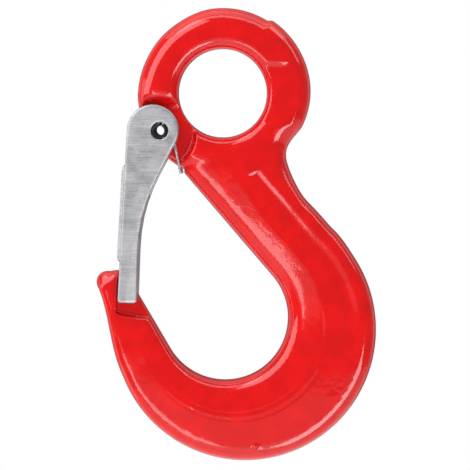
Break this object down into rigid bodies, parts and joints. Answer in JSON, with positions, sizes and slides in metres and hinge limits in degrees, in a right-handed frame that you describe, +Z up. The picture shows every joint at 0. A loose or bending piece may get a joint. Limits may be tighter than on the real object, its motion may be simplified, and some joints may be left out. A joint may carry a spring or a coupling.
{
  "type": "eye sling hook",
  "caption": "Forged steel eye hook with a hinged, spring-closed safety latch across its throat, for chain and rope slings.",
  "frame": {"origin": "centre of the eye's bore, at the middle of its thickness", "axes": "+Z up from the bowl to the eye, +Y along the eye's bore, +X away from the throat towards the hook's back"},
  "size_m": [0.108, 0.022, 0.1745],
  "materials": {
    "red_enamel": "thick gloss enamel, dipped",
    "zinc_plate": "zinc plated, faint horizontal brush marks",
    "black_oxide": "blackened spring steel",
    "spring_wire": "bright drawn wire"
  },
  "bodies": {
    "hook": {"hook_body": "red_enamel", "latch_pin": "black_oxide", "latch_spring": "spring_wire"},
    "latch": {"latch": "zinc_plate"}
  },
  "joints": [
    {"name": "latch_hinge", "type": "hinge", "parent": "hook", "child": "latch", "pos_m": [-0.024, 0, -0.0143], "axis": [0, -1, 0], "range_deg": [0, 36], "stiffness_Nm_per_rad": 0.5, "springref_deg": -34.38, "deforming": ["latch_spring"]}
  ]
}
